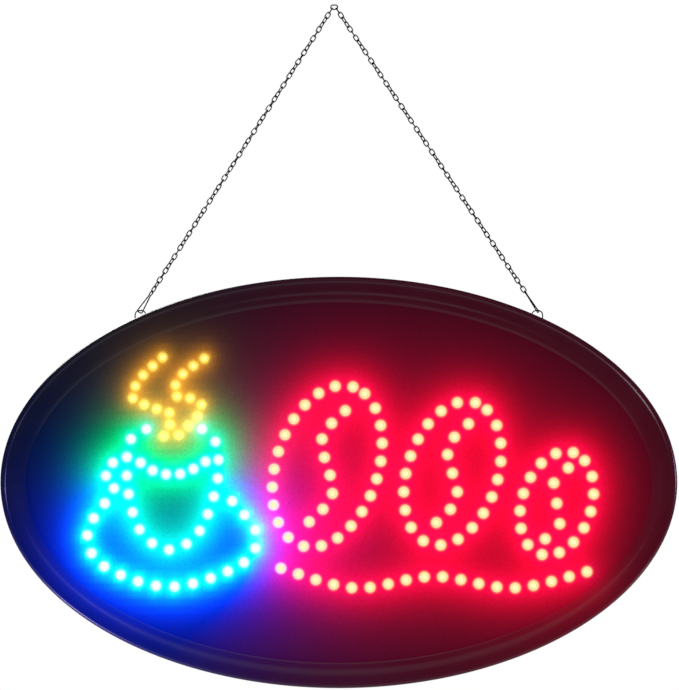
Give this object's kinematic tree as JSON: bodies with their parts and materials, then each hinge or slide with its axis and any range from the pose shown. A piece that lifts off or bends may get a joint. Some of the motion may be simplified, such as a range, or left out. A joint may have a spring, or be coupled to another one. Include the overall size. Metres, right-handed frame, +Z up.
{
  "type": "hanging LED sign",
  "caption": "Oval lit sign with a moulded rim, dotted cup, saucer, steam and bean drawing in coloured LEDs, a rear control pocket and a hanging chain.",
  "frame": {"origin": "the point where a hook bears on the underside of the top link's upper wire", "axes": "+Z up, the lit front faces -Y, +X to the right seen from the front; the oval hangs below the origin in the XZ plane"},
  "size_m": [0.584, 0.025, 0.5905],
  "materials": {
    "rim_plastic": "satin moulded black",
    "panel_acrylic": "smoked black sheet that takes up the LEDs' light",
    "cover_plastic": "fine textured black",
    "black_steel": "blackened steel wire",
    "black_screw": "black oxide",
    "zinc_screw": "bright zinc",
    "switch_plastic": "fine matt black",
    "jack_plastic": "black",
    "connector_plastic": "natural nylon",
    "chip_black": "moulded epoxy",
    "capacitor_can": "sleeved can",
    "board": "green solder mask",
    "nickel": "nickel plate",
    "led_yellow": "lit lens",
    "led_green": "lit lens",
    "led_blue": "lit lens",
    "led_red": "lit lens",
    "wire_yellow": "PVC",
    "wire_green": "PVC",
    "wire_blue": "PVC",
    "wire_red": "PVC"
  },
  "bodies": {
    "hook_link": {"top_link": "black_steel"},
    "chain": {"chain_left": "black_steel", "chain_right": "black_steel", "clip_left": "black_steel", "clip_right": "black_steel"},
    "sign": {"board_screw_1": "zinc_screw", "board_screw_2": "zinc_screw", "capacitor": "capacitor_can", "controller_board": "board", "cover_screw_1": "black_screw", "cover_screw_2": "black_screw", "cover_screw_3": "black_screw", "cover_screw_4": "black_screw", "cover_screw_5": "black_screw", "cover_screw_6": "black_screw", "cover_screw_7": "black_screw", "cover_screw_8": "black_screw", "eye_left": "black_steel", "eye_right": "black_steel", "flasher_chip": "chip_black", "front_panel": "panel_acrylic", "front_rim": "rim_plastic", "jack_nut": "nickel", "jumper_bean_large": "wire_red", "jumper_bean_medium": "wire_red", "jumper_bean_small": "wire_red", "jumper_crease_large": "wire_red", "jumper_crease_medium": "wire_red", "jumper_crease_small": "wire_red", "jumper_cup_brim": "wire_green", "jumper_cup_handle": "wire_green", "jumper_steam": "wire_yellow", "lead_blue": "wire_blue", "lead_connector": "connector_plastic", "lead_green": "wire_green", "lead_red": "wire_red", "lead_yellow": "wire_yellow", "led_strip_bean_large": "led_red", "led_strip_bean_large_crease": "led_red", "led_strip_bean_medium": "led_red", "led_strip_bean_medium_crease": "led_red", "led_strip_bean_small": "led_red", "led_strip_bean_small_crease": "led_red", "led_strip_cup": "led_green", "led_strip_cup_brim": "led_green", "led_strip_cup_handle": "led_green", "led_strip_saucer": "led_blue", "led_strip_steam_left": "led_yellow", "led_strip_steam_right": "led_yellow", "led_strip_underline": "led_red", "mode_switch": "chip_black", "power_jack": "jack_plastic", "rear_cover": "cover_plastic", "switch_housing": "switch_plastic"},
    "rocker": {"rocker": "switch_plastic"},
    "mode_button": {"mode_button": "switch_plastic"}
  },
  "joints": [
    {"name": "chain_swing", "type": "hinge", "parent": "hook_link", "child": "chain", "pos_m": [0, 0, -0.00315], "axis": [1, 0, 0], "range_deg": [-35, 35]},
    {"name": "sign_tilt", "type": "hinge", "parent": "chain", "child": "sign", "pos_m": [0.004, 0, -0.2634], "axis": [1, 0, 0], "range_deg": [-75, 75]},
    {"name": "rocker_throw", "type": "hinge", "parent": "sign", "child": "rocker", "pos_m": [0.022, 0.004, -0.5409], "axis": [0, 0, -1], "range_deg": [0, 24]},
    {"name": "mode_press", "type": "slide", "parent": "sign", "child": "mode_button", "axis": [0, -1, 0], "range_m": [0, 0.0008], "stiffness_N_per_m": 1200}
  ]
}
